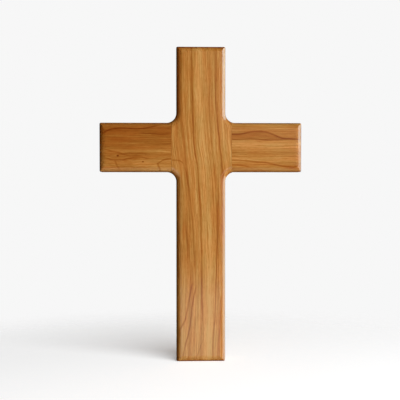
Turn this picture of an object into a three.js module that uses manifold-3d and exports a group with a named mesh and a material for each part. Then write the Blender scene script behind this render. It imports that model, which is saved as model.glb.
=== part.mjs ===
// A plain wooden altar cross that stands on the foot of its upright.
//
// It is three boards. The upright is one board from foot to top, left wider where the arms meet it. Each arm is a
// short board whose end grain is glued to the upright's edge, with two fluted dowel pins across the joint. The
// boards are glued first. Then the outline, with its hollow inner corners, is cut through all three together, and
// the front and back edges are rounded over, so every curve runs on across the glue lines.
//
// Frame: millimetres, +Z up, front face towards -Y. The origin is the middle of the foot, on the surface it stands on.

import * as THREE from "three";
import { mergeVertices } from "three/addons/utils/BufferGeometryUtils.js";
import Module from "manifold-3d";

// The finished outline.
const HEIGHT = 305;
const SPAN = 195.4;
const MEMBER_WIDTH = 47.5;
const THICKNESS = 25;
const ARM_CENTRE_Z = 208;
const INNER_CORNER_RADIUS = 9.5;
const ROUND_OVER = 4.8;
const CORNER_EASE = 1.5;

// The glued blank: the upright's board is wider than its finished width, and the outline sits a little off its middle.
const BLANK_WIDTH = 58;
const BLANK_SHIFT = 0.7;
const LEFT_JOINT_X = BLANK_SHIFT - BLANK_WIDTH / 2;
const RIGHT_JOINT_X = BLANK_SHIFT + BLANK_WIDTH / 2;

// The film of glue between the end of an arm and the edge of the upright.
const GLUE_LINE = 0.1;

// Two dowel pins hold each arm. The glue needs a little room around each pin and past each end of it.
const DOWEL_DIAMETER = 8;
const DOWEL_LENGTH = 40;
const DOWEL_PITCH = 24;
const DOWEL_CHAMFER = 1.2;
const FLUTES = 14;
const FLUTE_DEPTH = 0.4;
const HOLE_DIAMETER = 8.2;
const HOLE_DEPTH = DOWEL_LENGTH / 2 + 1;
const DRILL_SPUR_RADIUS = 1;
const DRILL_SPUR_LENGTH = 1.2;

const FILLET_STEPS = 8;
const ROUND_OVER_STEPS = 6;
const CORNER_STEPS = 4;
const ROUND_STEPS = 42;

const wasm = await Module();
wasm.setup();

// A closed three.js geometry as a manifold-3d solid.
function solid(geometry) {
  const bare = geometry.index ? geometry.toNonIndexed() : geometry.clone();
  bare.deleteAttribute("normal");
  bare.deleteAttribute("uv");
  const merged = mergeVertices(bare, 1e-4);
  return new wasm.Manifold(
    new wasm.Mesh({
      numProp: 3,
      vertProperties: merged.attributes.position.array,
      triVerts: new Uint32Array(merged.index.array),
    }),
  );
}

function geometryOf(body) {
  const { numProp, numVert, vertProperties, triVerts } = body.getMesh();
  const positions = new Float32Array(numVert * 3);
  for (let i = 0; i < numVert; i++) {
    positions.set(vertProperties.subarray(i * numProp, i * numProp + 3), i * 3);
  }
  const geometry = new THREE.BufferGeometry();
  geometry.setAttribute("position", new THREE.BufferAttribute(positions, 3));
  geometry.setIndex(new THREE.BufferAttribute(triVerts, 1));
  geometry.computeVertexNormals();
  return geometry;
}

// The cross seen from the front, x across and y up. Each outer corner is an arc of the radius given, or square.
function outline(cornerRadius) {
  const side = MEMBER_WIDTH / 2;
  const tip = SPAN / 2;
  const armTop = ARM_CENTRE_Z + side;
  const armFoot = ARM_CENTRE_Z - side;
  const corners = [
    [-side, 0], [side, 0], [side, armFoot], [tip, armFoot], [tip, armTop], [side, armTop],
    [side, HEIGHT], [-side, HEIGHT], [-side, armTop], [-tip, armTop], [-tip, armFoot], [-side, armFoot],
  ].map(([x, y]) => new THREE.Vector2(x, y));
  const shape = new THREE.Shape();
  corners.forEach((corner, i) => {
    const inward = corner.clone().sub(corners.at(i - 1)).normalize();
    const onward = corners[(i + 1) % corners.length].clone().sub(corner).normalize();
    const hollow = inward.cross(onward) < 0;
    const radius = hollow ? INNER_CORNER_RADIUS : cornerRadius;
    const start = corner.clone().addScaledVector(inward, -radius);
    if (i === 0) shape.moveTo(start.x, start.y);
    else shape.lineTo(start.x, start.y);
    if (radius === 0) return;
    const centre = start.clone().addScaledVector(onward, radius);
    const from = start.clone().sub(centre).angle();
    const steps = hollow ? FILLET_STEPS : CORNER_STEPS;
    const turn = (hollow ? -Math.PI : Math.PI) / 2;
    for (let k = 1; k <= steps; k++) {
      const angle = from + (turn * k) / steps;
      shape.lineTo(centre.x + radius * Math.cos(angle), centre.y + radius * Math.sin(angle));
    }
  });
  shape.closePath();
  return shape;
}

// A front view pushed through the thickness of the cross, stood up so that its y is the height.
function pushedThrough(shape, bevel) {
  const depth = THICKNESS - 2 * bevel;
  const geometry = new THREE.ExtrudeGeometry(shape, {
    depth,
    bevelEnabled: bevel > 0,
    bevelThickness: bevel,
    bevelSize: bevel,
    bevelOffset: -bevel,
    bevelSegments: ROUND_OVER_STEPS,
  });
  geometry.rotateX(Math.PI / 2);
  geometry.translate(0, depth / 2, 0);
  return solid(geometry);
}

// All the space between two values of x.
function slab(fromX, toX) {
  const geometry = new THREE.BoxGeometry(toX - fromX, 2 * THICKNESS, 2 * HEIGHT);
  geometry.translate((fromX + toX) / 2, 0, HEIGHT / 2);
  return solid(geometry);
}

const dowelHeights = [ARM_CENTRE_Z + DOWEL_PITCH / 2, ARM_CENTRE_Z - DOWEL_PITCH / 2];

// A shape turned about the x axis: profile pairs are [x, radius], from one end on the axis to the other.
function turned(profile, x, z) {
  const points = profile.map(([along, radius]) => new THREE.Vector2(radius, along));
  const geometry = new THREE.LatheGeometry(points, ROUND_STEPS);
  geometry.rotateZ(-Math.PI / 2);
  geometry.translate(x, 0, z);
  return solid(geometry);
}

// What a brad-point drill clears from both boards of a joint: a flat-bottomed hole, with a small spur mark at each end.
function dowelHole(jointX, z) {
  const radius = HOLE_DIAMETER / 2;
  const end = HOLE_DEPTH;
  return turned(
    [
      [-end - DRILL_SPUR_LENGTH, 0], [-end, DRILL_SPUR_RADIUS], [-end, radius],
      [end, radius], [end, DRILL_SPUR_RADIUS], [end + DRILL_SPUR_LENGTH, 0],
    ],
    jointX,
    z,
  );
}

// A beech pin with chamfered ends and straight glue flutes.
function dowel(jointX, z) {
  const radius = DOWEL_DIAMETER / 2;
  const half = DOWEL_LENGTH / 2;
  const nose = radius - DOWEL_CHAMFER;
  const pin = turned(
    [[-half, 0], [-half, nose], [DOWEL_CHAMFER - half, radius], [half - DOWEL_CHAMFER, radius], [half, nose], [half, 0]],
    jointX,
    z,
  );
  const flute = new THREE.Shape();
  flute.moveTo(radius - FLUTE_DEPTH, 0);
  flute.lineTo(radius + FLUTE_DEPTH, -2 * FLUTE_DEPTH);
  flute.lineTo(radius + FLUTE_DEPTH, 2 * FLUTE_DEPTH);
  flute.closePath();
  let fluted = pin;
  for (let k = 0; k < FLUTES; k++) {
    const groove = new THREE.ExtrudeGeometry(flute, { depth: DOWEL_LENGTH + 2, bevelEnabled: false });
    groove.translate(0, 0, -half - 1);
    groove.rotateZ((2 * Math.PI * k) / FLUTES);
    groove.rotateY(Math.PI / 2);
    groove.translate(jointX, 0, z);
    fluted = fluted.subtract(solid(groove));
  }
  return fluted;
}

// The whole cross as one rounded body, before the glue lines divide it.
const rounded = pushedThrough(outline(0), ROUND_OVER);
const eased = pushedThrough(outline(CORNER_EASE), 0);
let body = rounded.intersect(eased);
for (const jointX of [LEFT_JOINT_X, RIGHT_JOINT_X]) {
  for (const z of dowelHeights) body = body.subtract(dowelHole(jointX, z));
}

const uprightWood = new THREE.MeshStandardMaterial({ color: 0xb9803f, roughness: 0.45, metalness: 0 });
const leftArmWood = new THREE.MeshStandardMaterial({ color: 0xa4682c, roughness: 0.45, metalness: 0 });
const rightArmWood = new THREE.MeshStandardMaterial({ color: 0xba7f3f, roughness: 0.45, metalness: 0 });
const dowelBeech = new THREE.MeshStandardMaterial({ color: 0xd9b98a, roughness: 0.7, metalness: 0 });

const cross = new THREE.Group();

function add(name, shape, material) {
  const mesh = new THREE.Mesh(geometryOf(shape), material);
  mesh.name = name;
  cross.add(mesh);
}

add("upright", body.intersect(slab(LEFT_JOINT_X, RIGHT_JOINT_X)), uprightWood);
add("left_arm", body.intersect(slab(-SPAN, LEFT_JOINT_X - GLUE_LINE)), leftArmWood);
add("right_arm", body.intersect(slab(RIGHT_JOINT_X + GLUE_LINE, SPAN)), rightArmWood);
for (const [side, jointX] of [["left", LEFT_JOINT_X], ["right", RIGHT_JOINT_X]]) {
  dowelHeights.forEach((z, i) => add(`${side}_${["upper", "lower"][i]}_dowel`, dowel(jointX, z), dowelBeech));
}

export default cross;
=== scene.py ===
# %% [markdown]
# # A wooden altar cross
#
# This lesson makes the looks of a plain wooden cross that stands on the foot of its upright. The real one
# is three boards. Each arm is glued to the edge of the upright with two dowel pins. The outline is cut
# through all three boards together after the glue has dried, and the front and back edges are then rounded
# over with a router.
#
# The design is already settled, so this script loads it as a fixed frame. It makes each wooden piece again
# as a fine surface, gives each board its own grain, and sets up a floor, soft light and a camera.

# %% Load the frame
import math

import bmesh
import bpy
import numpy as np
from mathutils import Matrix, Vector


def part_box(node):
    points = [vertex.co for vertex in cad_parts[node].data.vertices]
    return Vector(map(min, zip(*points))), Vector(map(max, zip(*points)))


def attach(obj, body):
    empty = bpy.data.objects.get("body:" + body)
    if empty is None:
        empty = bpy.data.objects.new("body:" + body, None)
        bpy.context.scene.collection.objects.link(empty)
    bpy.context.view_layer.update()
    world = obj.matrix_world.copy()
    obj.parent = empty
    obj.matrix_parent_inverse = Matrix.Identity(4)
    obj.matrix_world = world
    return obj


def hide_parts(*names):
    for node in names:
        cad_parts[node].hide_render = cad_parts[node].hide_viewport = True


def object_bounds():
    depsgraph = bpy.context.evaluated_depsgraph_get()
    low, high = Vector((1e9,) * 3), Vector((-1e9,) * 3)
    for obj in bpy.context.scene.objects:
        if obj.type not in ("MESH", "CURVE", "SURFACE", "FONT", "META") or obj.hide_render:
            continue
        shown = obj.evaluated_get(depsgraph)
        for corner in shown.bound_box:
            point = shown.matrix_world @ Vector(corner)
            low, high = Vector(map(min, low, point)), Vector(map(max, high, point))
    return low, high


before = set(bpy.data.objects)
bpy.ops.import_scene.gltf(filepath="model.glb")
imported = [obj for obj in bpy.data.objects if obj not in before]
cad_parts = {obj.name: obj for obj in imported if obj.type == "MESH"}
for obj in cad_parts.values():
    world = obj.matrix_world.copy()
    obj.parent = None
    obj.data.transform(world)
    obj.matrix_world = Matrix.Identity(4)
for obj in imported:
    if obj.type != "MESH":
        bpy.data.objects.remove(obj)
cad_low, cad_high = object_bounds()
print("the frame is", [round(1000 * side, 1) for side in cad_high - cad_low], "mm")

# %% [markdown]
# ## Sizes
#
# Every size comes from the frame, so the fine surface can't drift away from the design. The span, height
# and thickness are the box of the whole cross. The width of a member is measured where nothing else is in
# the way: near the tip of an arm, and near the foot. The glue lines are where the boxes of the arms end.

# %% Measure the boards
MM = 0.001


def corners_of(node):
    """The corner points of a frame node, as one row of x, y and z for each."""
    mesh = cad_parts[node].data
    points = np.empty(3 * len(mesh.vertices))
    mesh.vertices.foreach_get("co", points)
    return points.reshape(-1, 3)


HEIGHT = cad_high.z
TIP = cad_high.x
THICKNESS = cad_high.y - cad_low.y
LEFT_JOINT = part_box("left_arm")[1].x
RIGHT_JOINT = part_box("right_arm")[0].x
UPRIGHT_LEFT, UPRIGHT_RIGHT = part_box("upright")[0].x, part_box("upright")[1].x

END_ZONE = 20 * MM
arm_tip = corners_of("right_arm")
arm_tip = arm_tip[arm_tip[:, 0] > TIP - END_ZONE]
ARM_LOW, ARM_HIGH = arm_tip[:, 2].min(), arm_tip[:, 2].max()
shaft = corners_of("upright")
shaft = shaft[shaft[:, 2] < END_ZONE]
SIDE = shaft[:, 0].max()
print("arms from", round(ARM_LOW / MM, 2), "to", round(ARM_HIGH / MM, 2), "mm up")
print("half width of a member", round(SIDE / MM, 2), "mm")
print("glue lines at", round(LEFT_JOINT / MM, 2), "and", round(RIGHT_JOINT / MM, 2), "mm")

# %% [markdown]
# ## The skin of the cross
#
# A router bit runs round the outline and leaves the same rounded edge everywhere. So the whole skin is one
# profile carried along one path: the path is the outline seen from the front, and the profile is the
# section through the edge, from the front face round to the back face. Sanding then widens the round
# towards the face, which makes the quarter circle a quarter of an ellipse, as deep as the bit cut it but
# reaching further in.
#
# Carrying the profile inwards changes the corners. A hollow corner grows by as much as the profile steps
# in. An outer corner shrinks until it is a sharp mitre, which sandpaper then leaves very slightly round.
# One formula gives both when the radius of a hollow corner counts as negative.

# %% The outline as a function of the step inwards and the turn along it
HOLLOW_RADIUS = 9.5 * MM
ROUND_OVER = 4.8 * MM
SANDED_REACH = 7 * MM
CORNER_EASE = 1.5 * MM
MITRE_SOFTNESS = 0.35 * MM
TURN_STEPS = 22

OUTLINE = np.array([
    [-SIDE, 0], [SIDE, 0], [SIDE, ARM_LOW], [TIP, ARM_LOW], [TIP, ARM_HIGH], [SIDE, ARM_HIGH],
    [SIDE, HEIGHT], [-SIDE, HEIGHT], [-SIDE, ARM_HIGH], [-TIP, ARM_HIGH], [-TIP, ARM_LOW], [-SIDE, ARM_LOW],
])


def outline_at(step_in):
    """The outline moved inwards: for each corner, the corner point plus the step along both inward
    directions, then bent by the radius times (1 - cos turn) along the first of them and (1 - sin turn)
    along the second."""
    arriving = OUTLINE - np.roll(OUTLINE, 1, axis=0)
    arriving /= np.linalg.norm(arriving, axis=1, keepdims=True)
    leaving = np.roll(arriving, -1, axis=0)
    inward_before = np.stack([-arriving[:, 1], arriving[:, 0]], axis=1)
    inward_after = np.stack([-leaving[:, 1], leaving[:, 0]], axis=1)
    hollow = np.cross(arriving, leaving) < 0
    radius = np.where(hollow, -(HOLLOW_RADIUS + step_in), max(CORNER_EASE - step_in, MITRE_SOFTNESS))
    corner = OUTLINE + step_in * (inward_before + inward_after)
    turn = np.linspace(0, math.pi / 2, TURN_STEPS)[None, :, None]
    bend = (1 - np.cos(turn)) * inward_before[:, None] + (1 - np.sin(turn)) * inward_after[:, None]
    return (corner[:, None] + radius[:, None, None] * bend).reshape(-1, 2)


print("points along the outline:", len(outline_at(0)))

# %% The profile carried along it
EDGE_STEPS = 18


def skin_grid():
    """For each station of the profile, one ring of points. The step in is the reach times (1 - cos), and
    the way out from the middle of the thickness is the flat part plus the round-over times sin, to the
    front and to the back."""
    lean = np.linspace(math.pi / 2, 0, EDGE_STEPS)
    step_in = SANDED_REACH * (1 - np.cos(lean))
    out = THICKNESS / 2 - ROUND_OVER + ROUND_OVER * np.sin(lean)
    step_in = np.concatenate([step_in, step_in[::-1]])
    depth = np.concatenate([-out, out[::-1]])
    rings = np.stack([outline_at(step) for step in step_in])
    return np.stack([rings[..., 0], np.broadcast_to(depth[:, None], rings.shape[:2]), rings[..., 1]], axis=-1)


def grid_faces(rows, columns):
    """Four-sided faces between neighbouring points of a grid whose columns close on themselves."""
    here = np.arange(rows * columns).reshape(rows, columns)
    beside = np.roll(here, -1, axis=1)
    quads = np.stack([here[:-1], beside[:-1], beside[1:], here[1:]], axis=-1)
    return quads.reshape(-1, 4)


skin = skin_grid()
print("skin grid:", skin.shape[0], "stations by", skin.shape[1], "points")

# %% [markdown]
# ## Three boards out of one skin
#
# The glued blank was shaped as one, so the skin is made as one and then sawn at the two glue lines. A saw
# cut leaves an open end. It is closed with a flat face that has two round holes in it, and each hole goes
# on into a blind bore for a dowel pin. The bores are turned shapes, like the pins themselves, so one
# function makes both.

# %% Put a grid into a mesh being edited
ROUND_STEPS = 56
JOIN_DISTANCE = 1e-6
CUT_DISTANCE = 1e-7


def add_grid(shape, points):
    """Adds a grid of points, closed round its columns, to a bmesh and gives the new corners row by row."""
    rows, columns = points.shape[:2]
    corners = [shape.verts.new(point) for point in points.reshape(-1, 3)]
    for quad in grid_faces(rows, columns).tolist():
        shape.faces.new([corners[i] for i in quad])
    return [corners[row * columns:(row + 1) * columns] for row in range(rows)]


def turned_grid(along, radius, x, z):
    """A shape turned about a line along x: x is the place along it, and y and z go round at the radius,
    which may also change with the angle."""
    angle = np.linspace(0, 2 * math.pi, ROUND_STEPS, endpoint=False)
    radius = np.broadcast_to(radius, (len(along), ROUND_STEPS))
    far = np.broadcast_to((x + along)[:, None], radius.shape)
    return np.stack([far, radius * np.cos(angle), z + radius * np.sin(angle)], axis=-1)


def finished(name, shape):
    """Merges what meets, turns every face outwards and makes the mesh an object at the origin."""
    bmesh.ops.remove_doubles(shape, verts=shape.verts, dist=JOIN_DISTANCE)
    bmesh.ops.recalc_face_normals(shape, faces=shape.faces)
    open_edges = sum(not edge.is_manifold for edge in shape.edges)
    mesh = bpy.data.meshes.new(name)
    shape.to_mesh(mesh)
    print(name, "has", len(mesh.polygons), "faces,", open_edges, "open edges and",
          round(shape.calc_volume(signed=True) * 1e6, 2), "cubic cm")
    shape.free()
    piece = bpy.data.objects.new(name, mesh)
    bpy.context.collection.objects.link(piece)
    return piece


# %% Saw the skin at a glue line and bore the end
BORE_RADIUS = 4.1 * MM
BORE_DEPTH = 21 * MM
SPUR_RADIUS = 1 * MM
SPUR_DEPTH = 1.2 * MM
DOWELS = ["left_upper_dowel", "left_lower_dowel", "right_upper_dowel", "right_lower_dowel"]


def middle_of(node):
    low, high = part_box(node)
    return (low + high) / 2


def saw(shape, x, keep):
    """Cuts the shape at x and keeps the part on the side that keep points to, -1 for left and 1 for right.
    Then it closes the cut round the mouths of two bores, which a brad-point drill leaves flat with a small
    spur mark."""
    everything = shape.verts[:] + shape.edges[:] + shape.faces[:]
    bmesh.ops.bisect_plane(shape, geom=everything, dist=CUT_DISTANCE, plane_co=(x, 0, 0),
                           plane_no=(keep, 0, 0), clear_inner=True)
    rim = [edge for edge in shape.edges if edge.is_boundary]
    along = keep * np.array([0, BORE_DEPTH, BORE_DEPTH, BORE_DEPTH + SPUR_DEPTH])
    radius = np.array([BORE_RADIUS, BORE_RADIUS, SPUR_RADIUS, 0])[:, None]
    side = "left" if x < 0 else "right"
    for dowel in (name for name in DOWELS if name.startswith(side)):
        mouth = add_grid(shape, turned_grid(along, radius, x, middle_of(dowel).z))[0]
        rim += [edge for edge in shape.edges
                if edge.is_boundary and edge.verts[0] in mouth and edge.verts[1] in mouth]
    bmesh.ops.triangle_fill(shape, use_beauty=True, edges=rim)


def board(name, *cuts):
    """A board is the whole skin with its two flat faces, sawn at each of the cuts."""
    shape = bmesh.new()
    rings = add_grid(shape, skin)
    shape.faces.new(rings[0])
    shape.faces.new(rings[-1])
    for x, keep in cuts:
        saw(shape, x, keep)
    return finished(name, shape)


boards = {
    "upright": board("upright_board", (UPRIGHT_LEFT, 1), (UPRIGHT_RIGHT, -1)),
    "left_arm": board("left_arm_board", (LEFT_JOINT, -1)),
    "right_arm": board("right_arm_board", (RIGHT_JOINT, 1)),
}

# %% [markdown]
# A flat board must look flat, and a rounded edge must look round. So the faces that lie in the front, the
# back or a glue line are shaded flat, and the strips between them are shaded smooth. The rim of a saw cut
# is marked sharp, so that the smooth strips don't turn towards the cut there.

# %% Shade the flat faces flat and the rounded strips smooth
SAME_PLACE = 1e-7
SHARP_ANGLE = math.radians(40)


def shade_by_facing(piece):
    """A face is flat when all its corners have the same x, the same y or the same z."""
    mesh = piece.data
    points = np.empty(3 * len(mesh.vertices))
    mesh.vertices.foreach_get("co", points)
    corner_of = np.empty(len(mesh.loops), dtype=int)
    mesh.loops.foreach_get("vertex_index", corner_of)
    first = np.empty(len(mesh.polygons), dtype=int)
    mesh.polygons.foreach_get("loop_start", first)
    corners = points.reshape(-1, 3)[corner_of]
    reach = np.maximum.reduceat(corners, first) - np.minimum.reduceat(corners, first)
    straight = reach.min(axis=1) < SAME_PLACE
    mesh.polygons.foreach_set("use_smooth", ~straight)
    mesh.set_sharp_from_angle(angle=SHARP_ANGLE)
    mesh.update()
    print(piece.name, "has", int(straight.sum()), "flat faces")


for piece in boards.values():
    shade_by_facing(piece)

# %% [markdown]
# ## Dowel pins
#
# A dowel pin is a beech rod with straight grooves, so that trapped glue and air can get out, and with
# chamfered ends, so that it finds its hole. Turning gives the rod and the chamfers. The radius at each
# angle is then the smaller of the turned radius and the radius of the groove there, just as a cutter takes
# away only what it reaches.

# %% Make the fluted pins
FLUTES = 14
FLUTE_DEPTH = 0.4 * MM
PIN_CHAMFER = 1.2 * MM


def fluted_pin(node):
    low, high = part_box(node)
    radius = (high.y - low.y) / 2
    half = (high.x - low.x) / 2
    middle = (low + high) / 2
    along = np.array([-half, -half, PIN_CHAMFER - half, half - PIN_CHAMFER, half, half])
    turned = np.array([0, radius - PIN_CHAMFER, radius, radius, radius - PIN_CHAMFER, 0])
    angle = np.linspace(0, 2 * math.pi, ROUND_STEPS, endpoint=False)
    groove = radius - FLUTE_DEPTH * (0.5 - 0.5 * np.cos(FLUTES * angle))
    shape = bmesh.new()
    add_grid(shape, turned_grid(along, np.minimum(turned[:, None], groove[None]), middle.x, middle.z))
    return finished(node.replace("dowel", "pin"), shape)


pins = {node: fluted_pin(node) for node in DOWELS}

# %% [markdown]
# ## Shader sums
#
# Wood is worked out from many small sums, and a graph of loose nodes is hard to read. This class wraps one
# socket, so that a sum in Python adds the nodes for it. Every other node comes from its one method:
# settings first, then what goes into its sockets.

# %% The socket wrapper


class Wire:
    """One output of a node. Adding, multiplying and so on put a Math node behind it."""

    def __init__(self, tree, socket=None):
        self.tree = tree
        self.socket = socket

    def node(self, kind, settings=None, inputs=None, output=0):
        """Adds a node with its settings, fills the named or numbered sockets and gives one of its
        outputs."""
        made = self.tree.nodes.new(kind)
        for name, value in (settings or {}).items():
            if name == "stops":
                set_stops(made.color_ramp, value)
            elif name == "blend":
                made.color_ramp.interpolation = value
            else:
                setattr(made, name, value)
        for name, value in (inputs or {}).items():
            if isinstance(value, Wire):
                self.tree.links.new(value.socket, made.inputs[name])
            else:
                made.inputs[name].default_value = value
        return Wire(self.tree, made.outputs[output] if made.outputs else None)

    def math(self, operation, *values):
        return self.node("ShaderNodeMath", {"operation": operation}, dict(enumerate(values)))

    def __add__(self, other):
        return self.math("ADD", self, other)

    __radd__ = __add__

    def __sub__(self, other):
        return self.math("SUBTRACT", self, other)

    def __rsub__(self, other):
        return self.math("SUBTRACT", other, self)

    def __mul__(self, other):
        return self.math("MULTIPLY", self, other)

    __rmul__ = __mul__

    def __truediv__(self, other):
        return self.math("DIVIDE", self, other)

    def __abs__(self):
        return self.math("ABSOLUTE", self)

    def fade(self, start, end):
        """0 at start, 1 at end, with a smooth S between them."""
        settings = {"interpolation_type": "SMOOTHSTEP"}
        return self.node("ShaderNodeMapRange", settings, {"Value": self, "From Min": start, "From Max": end})

    def ramp(self, stops, blend="EASE"):
        """A colour, or a grey that counts as a number, for each place along the ramp from 0 to 1."""
        return self.node("ShaderNodeValToRGB", {"stops": stops, "blend": blend}, {"Fac": self})


def set_stops(ramp, stops):
    """Gives a colour ramp its stops: each is a place and a colour, or a place and one number for a grey."""
    while len(ramp.elements) < len(stops):
        ramp.elements.new(0.5)
    for element, (place, value) in zip(ramp.elements, stops):
        element.position = place
        element.color = (*value, 1) if isinstance(value, tuple) else (value, value, value, 1)


def new_material(name):
    """An empty material, and the wire that its nodes are added from."""
    material = bpy.data.materials.new(name)
    material.use_nodes = True
    material.node_tree.nodes.clear()
    return material, Wire(material.node_tree)


# %% [markdown]
# ## Wood as a solid
#
# A board is a piece cut out of a tree, so its figure belongs to the solid and not to its surface. Each
# board here has three directions, in millimetres: along the grain, across the face, and through from the
# front. The figure is a set of sheets. Seen on the face, a sheet is a streak; seen on the end, it is an arc
# of a growth ring. So one number, the ring place, tells which sheet a point is in: the place across the
# face, minus how far the grain has drifted sideways at that height, plus a slant that leans the sheets
# through the thickness.
#
# A tone curve over the ring place gives the broad bands. Single streaks are then laid over them, each a
# thin line with its own bends, because those are what makes one board different from the next. Last come
# the fine marks that every board of this wood has: fibres, pores and a cross-grain shimmer.

# %% Curves and streaks in millimetres


def curve_of(place, points, blend="B_SPLINE"):
    """A smooth curve through a few points, as (place, value) pairs in millimetres, from the lowest place
    up."""
    places, values = zip(*points)
    low, high = min(values), max(values)
    reach = (high - low) or 1
    stops = [((p - places[0]) / (places[-1] - places[0]), (v - low) / reach) for p, v in points]
    return place.node("ShaderNodeMapRange", {}, {
        "Value": place, "From Min": places[0], "From Max": places[-1],
    }).ramp(stops, blend) * reach + low


def streak(along, across, points, width, depth):
    """A streak's darkening: its depth on the line through the points, fading to nothing a width away from
    the line and towards both ends."""
    start, end = points[0][0], points[-1][0]
    taper = min(0.25 * (end - start), 8)
    line = curve_of(along, points, "CARDINAL")
    beside = abs(across - line).fade(width, 0)
    return beside * along.fade(start - 1, start + taper) * along.fade(end + 1, end - taper) * depth


def streaked(tone, along, across, streaks):
    """The tone darkened by each streak of a list: its points, its width and its depth."""
    for points, width, depth in streaks:
        tone = tone * (1 - streak(along, across, points, width, depth))
    return tone


# %% Fine marks that every board has
THREAD_CONTRAST = 0.44
FIBRE_CONTRAST = 0.34
BUNDLE_CONTRAST = 0.5
FLECK_CONTRAST = 0.16
PORE_DARKENING = 0.3


def stretched_noise(wood, lengths, detail, seed):
    """Noise whose blobs are about as long as the three lengths say, in millimetres along, across and
    through. The seed moves the pattern along, so that no two uses of it look alike."""
    place = wood["along"].node("ShaderNodeCombineXYZ", {}, {
        0: wood["along"] / lengths[0] + (seed + wood["seed"]),
        1: wood["across"] / lengths[1],
        2: wood["through"] / lengths[2],
    })
    settings = {"noise_dimensions": "3D", "normalize": True}
    return place.node("ShaderNodeTexNoise", settings, {"Vector": place, "Scale": 1.0, "Detail": detail})


def fine_marks(wood, ring_place):
    """Threads, fibres, bundles, flecks and pores, which all follow the grain: a number to multiply a tone
    by, and the fibres and pores by themselves."""
    grain = wood | {"across": ring_place}
    threads = stretched_noise(grain, (48, 0.95, 0.95), 3, 3).fade(0.3, 0.7) - 0.5
    fibres = stretched_noise(grain, (24, 0.55, 0.55), 2, 7).fade(0.3, 0.7) - 0.5
    bundles = stretched_noise(grain, (70, 2.2, 2.2), 2, 19) - 0.5
    flecks = stretched_noise(grain, (6, 1.3, 1.3), 3, 23).fade(0.3, 0.7) - 0.5
    crowded = stretched_noise(grain, (16, 4, 4), 1, 51).fade(0.35, 0.6)
    pores = stretched_noise(grain, (5, 0.36, 0.36), 1, 37).fade(0.56, 0.70) * (0.3 + 0.7 * crowded)
    light = (1 + THREAD_CONTRAST * threads) * (1 + FIBRE_CONTRAST * fibres)
    light = light * (1 + BUNDLE_CONTRAST * bundles) * (1 + FLECK_CONTRAST * flecks)
    return light * (1 - PORE_DARKENING * pores), fibres, pores


# %% [markdown]
# ## From tone to colour
#
# The figure is one number, a tone, but dark wood is not grey wood: as this timber darkens, its blue goes
# first, then its green, and it turns from honey to red-brown. A stain does the same: each colour that it
# lets through is a power of any other. So the tone is the green of the wood. The red is a low power of it,
# which keeps dark wood red, and the blue is a high power of it, which makes dark wood lose its blue.

# %% The colour of each tone
DARKEST, PALEST = 0.03, 0.38
RED_SCALE, RED_POWER = 1.28, 0.55
BLUE_SCALE, BLUE_POWER = 0.65, 1.8
GOLDEN = (0.95, 1.03, 1.02)
REDDISH = (1.02, 0.98, 0.92)


def colour_of(tone, warmth):
    """Red and blue are each a scale times the tone raised to a power, and green is the tone. The warmth
    then turns the colour from golden at 0 to reddish at 1."""
    tone = tone.math("MINIMUM", tone.math("MAXIMUM", tone, DARKEST), PALEST)
    red = RED_SCALE * tone.math("POWER", tone, RED_POWER)
    blue = BLUE_SCALE * tone.math("POWER", tone, BLUE_POWER)
    plain = tone.node("ShaderNodeCombineColor", {}, {"Red": red, "Green": tone, "Blue": blue})
    tint = warmth.ramp([(0.0, GOLDEN), (1.0, REDDISH)], "LINEAR")
    settings = {"data_type": "RGBA", "blend_type": "MULTIPLY"}
    return plain.node("ShaderNodeMix", settings, {"Factor": 1.0, "A": plain, "B": tint}, output=2)


# %% [markdown]
# ## The finish
#
# The boards are sanded and lacquered with a clear satin coat. The wood under the coat is fairly rough. The coat
# itself is smoother and gives the soft bright band along a rounded edge. End grain soaks up lacquer and goes
# darker, so each mesh carries a number for how far its surface faces along the grain. On the upright this
# darkening is made much stronger than soaked lacquer would make it, and that extra darkening is painted shade on
# its rounded ends. The grain also leaves a shallow relief under the coat, which the bump shows.

# %% Mark the end grain on each board


def mark_end_grain(piece, axis):
    """The square of the normal's part along the grain, kept on the mesh's corners as the end_grain
    attribute."""
    mesh = piece.data
    normals = np.empty(3 * len(mesh.loops))
    mesh.corner_normals.foreach_get("vector", normals)
    facing = normals.reshape(-1, 3)[:, axis] ** 2
    layer = mesh.attributes.new("end_grain", "FLOAT", "CORNER")
    layer.data.foreach_set("value", facing)


for name, axis in (("upright", 2), ("left_arm", 0), ("right_arm", 0)):
    mark_end_grain(boards[name], axis)

# %% Make a wood material
COAT_ROUGHNESS = 0.13
COAT_IOR = 1.6
WOOD_GLOSS = 0.15
WOOD_ROUGHNESS, FIBRE_ROUGHNESS, PORE_ROUGHNESS = 0.42, 0.12, 0.15
RELIEF_STRENGTH = 0.5
RELIEF_DEPTH = 0.05 * MM
GLUE_LINE_WIDTH = 0.35
GLUE_DARKENING = 0.2
# The soak darkening, times a board's end soak, is partly lacquer soaked into end grain and partly painted shade
# on the upright's rounded ends.
END_DARKENING, SOAK_AND_SHADE_DARKENING = 0.2, 0.55


def wood_directions(start, grain_axis, through_offset):
    """The place in millimetres, split into along, across and through. The grain runs along z or along x."""
    place = start.node("ShaderNodeTexCoord", output=3)
    scaled = place.node("ShaderNodeVectorMath", {"operation": "SCALE"}, {0: place, "Scale": 1 / MM})
    x, y, z = (scaled.node("ShaderNodeSeparateXYZ", {}, {0: scaled}, output=i) for i in range(3))
    along, across = (z, x) if grain_axis == "z" else (x, z)
    return {"x": x, "along": along, "across": across, "through": y + through_offset}


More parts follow.
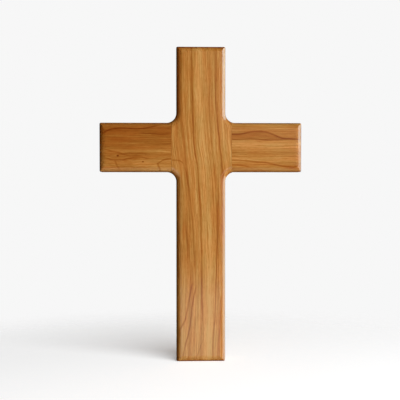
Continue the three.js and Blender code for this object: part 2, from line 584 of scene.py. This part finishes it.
def lacquered_wood(name, grain_axis, seed, end_soak_and_shade, figure):
    """A wood material. The figure is a function that gives a board's tone and its ring place. The end soak and
    shade tells how much lacquer the end grain drinks and how much painted shade is laid on it: the end grain gets
    darker and duller by that."""
    material, start = new_material(name)
    wood = wood_directions(start, grain_axis, THICKNESS / 2 / MM)
    wood["seed"] = seed
    glue = (abs(wood["x"] - LEFT_JOINT / MM).fade(GLUE_LINE_WIDTH, 0)
            + abs(wood["x"] - RIGHT_JOINT / MM).fade(GLUE_LINE_WIDTH, 0))
    end_grain = start.node("ShaderNodeAttribute", {"attribute_name": "end_grain"}, output=2)
    tone, ring_place = figure(wood)
    marks, fibres, pores = fine_marks(wood, ring_place)
    # Darker end grain: real soaked lacquer, plus painted shade where the end soak is high, as on the upright.
    darker_end_and_painted_shade = (END_DARKENING + SOAK_AND_SHADE_DARKENING * end_soak_and_shade) * end_grain.fade(0.05, 0.8)
    tone = tone * marks * (1 - GLUE_DARKENING * glue) * (1 - darker_end_and_painted_shade)
    warmth = stretched_noise(wood, (30, 5, 5), 1, 70).fade(0.3, 0.7)
    colour = colour_of(tone, warmth)
    relief = fibres * 0.5 - pores
    bump = start.node("ShaderNodeBump", {}, {
        "Strength": RELIEF_STRENGTH, "Distance": RELIEF_DEPTH, "Height": relief,
    })
    shader = start.node("ShaderNodeBsdfPrincipled", {}, {
        "Base Color": colour,
        "Roughness": WOOD_ROUGHNESS + FIBRE_ROUGHNESS * fibres + PORE_ROUGHNESS * pores,
        "Specular IOR Level": WOOD_GLOSS,
        "Normal": bump,
        "Coat Weight": 1 - end_soak_and_shade * end_grain.fade(0.02, 0.4),
        "Coat Roughness": COAT_ROUGHNESS,
        "Coat IOR": COAT_IOR,
    })
    start.node("ShaderNodeOutputMaterial", {}, {"Surface": shader})
    print(name, "has", len(material.node_tree.nodes), "nodes")
    return material


# %% [markdown]
# ## The upright's figure
#
# The upright is one long board. Its grain stands straight at the top, leans to the right as it goes down
# through the crossing, and is straight again below. One dark streak runs nearly its whole length beside a
# pale golden band. A second dark streak comes in from the left at the crossing, and near the foot the grain
# on the left runs out to the edge. The drift curve gives the lean. The band curve gives the tones across
# the face as they are at the crossing, and its far end is what the lean of the sheets brings to the back of
# the board.

# %% Drift, bands and streaks of the upright, and painted shade along its edges
UPRIGHT_DRIFT = [(0, 2.6), (25, 3.6), (60, 4.1), (115, 3.9), (146, 1.9), (170, 1.1), (190, 0.0), (204, -2.6),
                 (214, -3.4), (236, -4.9), (305, -5.8)]
UPRIGHT_LIGHTER = 0.064
UPRIGHT_BANDS = [(-36, 0.19), (-30, 0.23), (-26, 0.17), (-22, 0.19), (-18.5, 0.16), (-15.5, 0.15),
                 (-13.4, 0.13), (-11, 0.20), (-9.4, 0.18), (-8, 0.19), (-5.6, 0.22), (-4.4, 0.19),
                 (-3.1, 0.105), (-1.6, 0.19), (0.5, 0.25), (4, 0.30), (6.2, 0.29), (8, 0.22), (11, 0.21),
                 (13.2, 0.16), (14.8, 0.21), (18.6, 0.22), (20.4, 0.145), (22.4, 0.20), (25.5, 0.25),
                 (28, 0.19), (31, 0.23), (35, 0.17), (38, 0.24), (42, 0.19), (48, 0.22)]
UPRIGHT_STREAKS_AND_EDGE_SHADE = [
    # The first four streaks run along the left and right rounded edges, at -21.8 and 20.6 mm, and stop at the
    # crossing. They are not grain: they are painted shade that darkens those edges.
    ([(-10, -21.8), (184, -21.8)], 3.2, 0.5),
    ([(232, -21.8), (315, -21.8)], 3.2, 0.6),
    ([(-10, 20.6), (184, 20.6)], 4.0, 0.3),
    ([(232, 20.6), (315, 20.6)], 4.0, 0.36),
    ([(88, -6.4), (112, -6.6), (127, -7.4), (143, -9.0), (158, -10.6), (173, -12.2), (186, -14.4),
      (191, -16.4)],
     1.3, 0.4),
    ([(96, -12), (118, -12.6), (134, -13.6)], 1.8, 0.22),
    ([(100, 1), (140, 1), (150, -0.4), (176, -2)], 1.3, 0.3),
    ([(44, 0.6), (70, 0.8), (84, 1)], 1.0, 0.3),
    ([(28, -20.8), (40, -16), (50, -13.2), (62, -11), (80, -8.2)], 1.4, 0.5),
    ([(0, -17.8), (12, -15.8), (22, -13.4), (32, -11), (44, -9), (56, -7.8), (76, -4.6)], 1.3, 0.55),
    ([(16, -20.4), (24, -19.8), (34, -19.6)], 1.8, 0.3),
    ([(1, -4.4), (8, -3), (13, -1), (17, 0.4), (23, 2.6)], 0.9, 0.34),
    ([(0, 11.9), (30, 12.2), (40, 13.4), (55, 14), (75, 14.2), (100, 15), (116, 16), (160, 16.4)], 1.3, 0.45),
    ([(0, 18.2), (40, 18.5), (66, 19)], 1.0, 0.38),
    ([(98, 17.4), (127, 17.6), (150, 17.6), (172, 17)], 2.0, 0.22),
    ([(174, 23), (188, 21), (205, 19.2), (222, 16.8), (240, 15.4)], 1.3, 0.5),
    ([(176, 14.4), (192, 12.6), (206, 10.8), (226, 8.6)], 0.9, 0.22),
    ([(196, -4.6), (206, -6), (222, -7.6), (262, -8.8), (303, -9.2)], 1.0, 0.34),
    ([(186, -14.6), (204, -15.6), (226, -16.6), (238, -18.6)], 0.8, 0.24),
    ([(236, 15), (270, 14), (304, 13.8)], 1.1, 0.42),
    ([(92, -14), (120, -13.4), (150, -14.2)], 2.4, 0.12),
]


def upright_figure(wood):
    along, across, through = wood["along"], wood["across"], wood["through"]
    wander = (stretched_noise(wood, (34, 12, 12), 1, 5) - 0.5) * 2.2
    slant = through * 0.5 + through * through * 0.012
    across = across + wander
    ring_place = across - curve_of(along, UPRIGHT_DRIFT) + slant
    tone = curve_of(ring_place, UPRIGHT_BANDS, "EASE") + UPRIGHT_LIGHTER
    paler_foot = along.fade(100, 40)
    paler_low_left = across.fade(-6, -16) * along.fade(110, 80)
    darker_top = along.fade(215, 245)
    darker_middle_right = across.fade(1.5, 4) * along.fade(200, 180) * along.fade(85, 110)
    tone = tone * (1 + 0.06 * paler_foot) * (1 + 0.16 * paler_low_left)
    tone = tone * (1 - 0.09 * darker_top) * (1 - 0.12 * darker_middle_right)
    tone = streaked(tone, along, across + slant, UPRIGHT_STREAKS_AND_EDGE_SHADE)
    hook = streak(across, along, [(-31, 195.4), (-25, 195.6), (-20, 194.8), (-17, 192.4),
                                  (-15.4, 189)], 1.2, 0.4)
    return tone * (1 - hook), ring_place


# The upright's end soak of 0.9, against 0.15 for the arms, paints shade on its rounded ends, above all the foot.
upright_wood = lacquered_wood("lacquered_upright", "z", 0, 0.9, upright_figure)

# %% [markdown]
# ## The arms' figures
#
# Each arm is from another board. The left one is darker and redder, above all in its upper half, with a
# dark wavy streak under its top edge, a thin pale line along its middle, and swirling grain with two pin
# knots below that. The right one is paler. Its mark is a long dark lens in the upper half, and a dark line
# falls across its lower half and turns up again near the tip.

# %% Bands and streaks of the left arm
LEFT_GAIN = 1.27
LEFT_BANDS = [(176, 0.17), (184, 0.18), (190, 0.175), (194, 0.16), (198, 0.135), (202, 0.125),
              (204.8, 0.16), (206.5, 0.13), (209, 0.112), (214, 0.108), (219, 0.098), (223, 0.085),
              (226, 0.09), (229, 0.115), (232, 0.14), (244, 0.12)]
LEFT_STREAKS = [
    ([(-98, 220.5), (-88, 224.6), (-76, 226), (-60, 225.8), (-50, 227.2), (-38, 229.4)], 1.6, 0.55),
    ([(-62, 221.6), (-48, 221.2), (-38, 220.2), (-27, 220.2)], 1.0, 0.42),
    ([(-98, 206.6), (-88, 204.8), (-78, 202.6), (-66, 201.6), (-50, 201.8)], 1.3, 0.34),
    ([(-96, 198.4), (-86, 196.2), (-80, 195.6), (-68, 197.6), (-58, 198), (-46, 196)], 1.0, 0.4),
    ([(-82, 203.6), (-70, 200), (-56, 199.2)], 1.1, 0.3),
    ([(-42, 192), (-38, 195), (-33, 196.6), (-26, 197.2)], 1.0, 0.5),
]
LEFT_KNOTS = [(-79.8, 199.8, 1.2), (-55.7, 194, 0.9)]
KNOT_DARKENING = 0.85


def knot(wood, along, across, size):
    """A pin knot: dark within its size of the point, seen on the front half of the board."""
    far = wood["along"].node("ShaderNodeVectorMath", {"operation": "LENGTH"}, {
        0: wood["along"].node("ShaderNodeCombineXYZ", {}, {
            0: (wood["along"] - along) / 1.5, 1: wood["across"] - across, 2: wood["through"] * 0.2,
        }),
    }, output=1)
    return far.fade(size, 0.3 * size)


def left_arm_figure(wood):
    along, across, through = wood["along"], wood["across"], wood["through"]
    swirl = across.fade(206, 196) * 2.6 + 1.4
    wander = (stretched_noise(wood, (22, 9, 9), 2, 9) - 0.5) * swirl
    slant = through * 0.35
    across = across + wander
    tone = LEFT_GAIN * curve_of(across + slant * 0.6, LEFT_BANDS, "EASE")
    paler_line = streak(along, across, [(-68, 205.4), (-50, 205), (-38, 204.2), (-26, 203)], 1.1, 0.3)
    hook = streak(across, along, [(184, -39), (188, -40), (192.5, -41.4), (194.5, -39)], 1.8, 0.4)
    crook = streak(across, along, [(186, -78), (190, -80.6), (196, -82.6)], 1.7, 0.34)
    tone = tone * (1 + paler_line) * (1 - hook) * (1 - crook)
    tone = tone * (1 + 0.12 * along.fade(-75, -40) * across.fade(208, 202))
    tone = streaked(tone, along, across + slant, LEFT_STREAKS)
    for place in LEFT_KNOTS:
        tone = tone * (1 - KNOT_DARKENING * knot(wood, *place))
    return tone, across + slant


left_arm_wood = lacquered_wood("lacquered_left_arm", "x", 100, 0.15, left_arm_figure)

# %% Bands and streaks of the right arm
RIGHT_BANDS = [(176, 0.215), (185, 0.215), (190, 0.21), (194, 0.235), (197, 0.27), (200, 0.22), (203, 0.188),
               (206, 0.256), (212, 0.294), (214.4, 0.25), (217.5, 0.208), (222, 0.192), (227, 0.23), (230, 0.286),
               (232, 0.305), (244, 0.225)]
LENS_TOP = [(22, 220.6), (38, 221), (47, 222.8), (58, 223.3), (66, 221.8), (73, 219), (79, 216.8), (98, 216)]
LENS_FOOT = [(22, 216), (38, 215.6), (50, 216.2), (64, 215.2), (80, 215.8), (98, 216)]
LENS_EDGE = (-0.4, 0.8)
LENS_DARKENING = 0.24
TIP_DARKENING = 0.12
RIGHT_STREAKS = [
    (LENS_TOP, 1.5, 0.6),
    (LENS_FOOT, 1.0, 0.5),
    ([(24, 196), (40, 195.6), (52, 194.2), (64, 192.8), (76, 190.6), (88, 189), (93, 190),
      (98, 193)], 1.3, 0.48),
    ([(24, 191.4), (38, 190.8), (50, 188.8)], 1.4, 0.48),
    ([(70, 192.8), (82, 193.2), (98, 193)], 0.8, 0.25),
]


def right_arm_figure(wood):
    along, across, through = wood["along"], wood["across"], wood["through"]
    wander = (stretched_noise(wood, (30, 9, 9), 1, 15) - 0.5) * 1.4
    slant = through * 0.35
    across = across + wander
    tone = curve_of(across + slant * 0.6, RIGHT_BANDS, "EASE")
    leaning = across + slant
    above_foot = (leaning - curve_of(along, LENS_FOOT)).fade(*LENS_EDGE)
    below_top = (curve_of(along, LENS_TOP) - leaning).fade(*LENS_EDGE)
    tone = tone * (1 - LENS_DARKENING * (above_foot * below_top)) * (1 - TIP_DARKENING * along.fade(76, 92))
    return streaked(tone, along, leaning, RIGHT_STREAKS), leaning


right_arm_wood = lacquered_wood("lacquered_right_arm", "x", 200, 0.15, right_arm_figure)

# %% [markdown]
# ## Beech for the pins
#
# The pins are bare beech: pale, even, and marked with short darker flecks along the grain. They can't be
# seen in the finished cross, but each is a piece of it all the same.

# %% The beech material


def bare_beech():
    material, start = new_material("bare_beech")
    wood = wood_directions(start, "x", 0) | {"seed": 300}
    flecks = stretched_noise(wood, (2.4, 0.3, 0.3), 1, 4).fade(0.6, 0.72)
    bands = stretched_noise(wood, (40, 1.6, 1.6), 2, 8)
    colour = (bands - 0.3 * flecks).ramp([(0.0, (0.46, 0.28, 0.14)), (0.5, (0.66, 0.46, 0.26)),
                                          (1.0, (0.76, 0.57, 0.36))])
    bump = start.node("ShaderNodeBump", {}, {"Strength": 0.4, "Distance": RELIEF_DEPTH, "Height": bands})
    shader = start.node("ShaderNodeBsdfPrincipled", {}, {
        "Base Color": colour, "Roughness": 0.65 + 0.1 * flecks, "Normal": bump,
    })
    start.node("ShaderNodeOutputMaterial", {}, {"Surface": shader})
    return material


beech = bare_beech()

# %% Give every piece its material and its body, and hide the frame node that it stands for
BOARD_WOODS = {"upright": upright_wood, "left_arm": left_arm_wood, "right_arm": right_arm_wood}
for node, piece in (boards | pins).items():
    piece.data.materials.append(BOARD_WOODS.get(node, beech))
    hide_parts(node)
    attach(piece, "root")

# %% [markdown]
# ## Floor, light and camera
#
# The cross stands on a plain white surface in front of a white wall. Its light is one very wide soft window
# on the right, so its left edges fall into the dark and its right edges shine. What the lacquer mirrors is
# set apart from what lights the wood: a lamp can be hidden from one of the two, and so the shine can be
# placed on the edges alone.
#
# The floor must look white without flooding the cross with bounce light. So it glows a little by itself, it
# has a lamp of its own that throws the shadow, and no bounce light comes off it. Two weak lamps below the
# cross stand in for its bounce and for its reflection low on the upright.

# %% The floor
FLOOR_RADIUS = 1.4
FLOOR_MIDDLE = Vector((0, -0.2, 0))
FLOOR_FADE = (0.24, 0.5)
FLOOR_GLOW = 0.3
FLOOR_WHITE = (0.8, 0.8, 0.8, 1)


def soft_floor():
    """A flat disc that fades into the world's own pale colour with the distance from a point in front of
    the cross. Only the camera sees it."""
    shape = bmesh.new()
    bmesh.ops.create_circle(shape, cap_ends=True, segments=96, radius=FLOOR_RADIUS)
    mesh = bpy.data.meshes.new("floor")
    shape.to_mesh(mesh)
    shape.free()
    floor = bpy.data.objects.new("floor", mesh)
    bpy.context.collection.objects.link(floor)
    material, start = new_material("floor_white")
    place = start.node("ShaderNodeTexCoord", output=3)
    far = place.node("ShaderNodeVectorMath", {"operation": "DISTANCE"}, {0: place, 1: FLOOR_MIDDLE}, output=1)
    paper = start.node("ShaderNodeBsdfDiffuse", {}, {"Color": FLOOR_WHITE})
    glow = start.node("ShaderNodeEmission", {}, {"Color": (1, 1, 1, 1), "Strength": FLOOR_GLOW})
    solid = start.node("ShaderNodeAddShader", {}, {0: paper, 1: glow})
    nothing = start.node("ShaderNodeBsdfTransparent")
    faded = start.node("ShaderNodeMixShader", {}, {0: far.fade(*FLOOR_FADE), 1: solid, 2: nothing})
    start.node("ShaderNodeOutputMaterial", {}, {"Surface": faded})
    mesh.materials.append(material)
    floor.visible_diffuse = False
    floor.visible_glossy = False
    floor.visible_shadow = False
    return floor


floor = soft_floor()

# %% The pale wall far behind, which is the world
WALL = 0.93
ROOM = 0.01

world = bpy.data.worlds.new("studio")
world.use_nodes = True
bpy.context.scene.world = world
world.node_tree.nodes.clear()
sky = Wire(world.node_tree)
seen = sky.node("ShaderNodeLightPath", output=0)
strength = ROOM + (WALL - ROOM) * seen
backdrop = sky.node("ShaderNodeBackground", {}, {"Color": (1, 1, 1, 1), "Strength": strength})
sky.node("ShaderNodeOutputWorld", {}, {"Surface": backdrop})

# %% Soft panels
CENTRE = Vector((0, 0, HEIGHT / 2))
PANEL_DISTANCE = 2.0
PIECES = [*boards.values(), *pins.values()]


def panel(name, azimuths, heights, radiance, receivers, wood=True, shine=True, colour=(1, 1, 1)):
    """A soft rectangular light that looks at the middle of the cross. It spans the azimuths, counted in
    degrees from straight in front towards the right, and the heights above level. Its power gives its
    surface the radiance."""
    turn, lift = (math.radians(sum(pair) / 2) for pair in (azimuths, heights))
    width, height = (2 * PANEL_DISTANCE * math.tan(math.radians(end - start) / 2)
                     for start, end in (azimuths, heights))
    light = bpy.data.lights.new(name, "AREA")
    light.shape = "RECTANGLE"
    light.size, light.size_y = width, height
    light.energy = radiance * math.pi * width * height
    light.color = colour
    lamp = bpy.data.objects.new(name, light)
    bpy.context.collection.objects.link(lamp)
    out = Vector((math.sin(turn) * math.cos(lift), -math.cos(turn) * math.cos(lift), math.sin(lift)))
    lamp.location = CENTRE + PANEL_DISTANCE * out
    lamp.rotation_mode = "QUATERNION"
    lamp.rotation_quaternion = (-out).to_track_quat("-Z", "Y")
    lamp.visible_camera = False
    lamp.visible_diffuse = wood
    lamp.visible_glossy = shine
    lamp.light_linking.receiver_collection = bpy.data.collections.new(name + "_receivers")
    for receiver in receivers:
        lamp.light_linking.receiver_collection.objects.link(receiver)
    return lamp


DAYLIGHT = (0.75, 1.0, 1.0)

panel("window", (14, 66), (-16, 22), 5.9, PIECES, shine=False)
panel("window_shine", (52, 110), (4, 36), 4.8, PIECES, wood=False, colour=DAYLIGHT)
panel("wall_shine", (60, 130), (-25, 4), 2.6, PIECES, wood=False, colour=DAYLIGHT)
panel("floor_shine", (-35, 30), (-30, -11), 1.0, [boards["upright"]], wood=False)
panel("floor_bounce", (-50, 50), (-80, -30), 0.3, PIECES)
panel("room_shine", (3, 43), (4, 40), 0.22, PIECES, wood=False)
panel("fill_behind", (165, 215), (-10, 40), 3.6, PIECES, shine=False)
panel("floor_window", (-4, 66), (8, 36), 11.2, [floor])

# %% The camera
AIM = Vector((-0.5, 0, 156.9)) * MM
DISTANCE = 0.7
YAW = math.radians(1.747)
PITCH = math.radians(1.428)
LENS = 64.18
SENSOR_WIDTH = 36

looking = Vector((math.sin(YAW) * math.cos(PITCH), math.cos(YAW) * math.cos(PITCH), -math.sin(PITCH)))
camera = bpy.data.objects.new("camera", bpy.data.cameras.new("camera"))
camera.data.sensor_width = SENSOR_WIDTH
camera.data.lens = LENS
camera.location = AIM - DISTANCE * looking
camera.rotation_mode = "QUATERNION"
camera.rotation_quaternion = looking.to_track_quat("-Z", "Y")
bpy.context.collection.objects.link(camera)
bpy.context.scene.camera = camera
bpy.context.scene.view_settings.view_transform = "Standard"
print("camera at", [round(value / MM, 1) for value in camera.location], "mm")
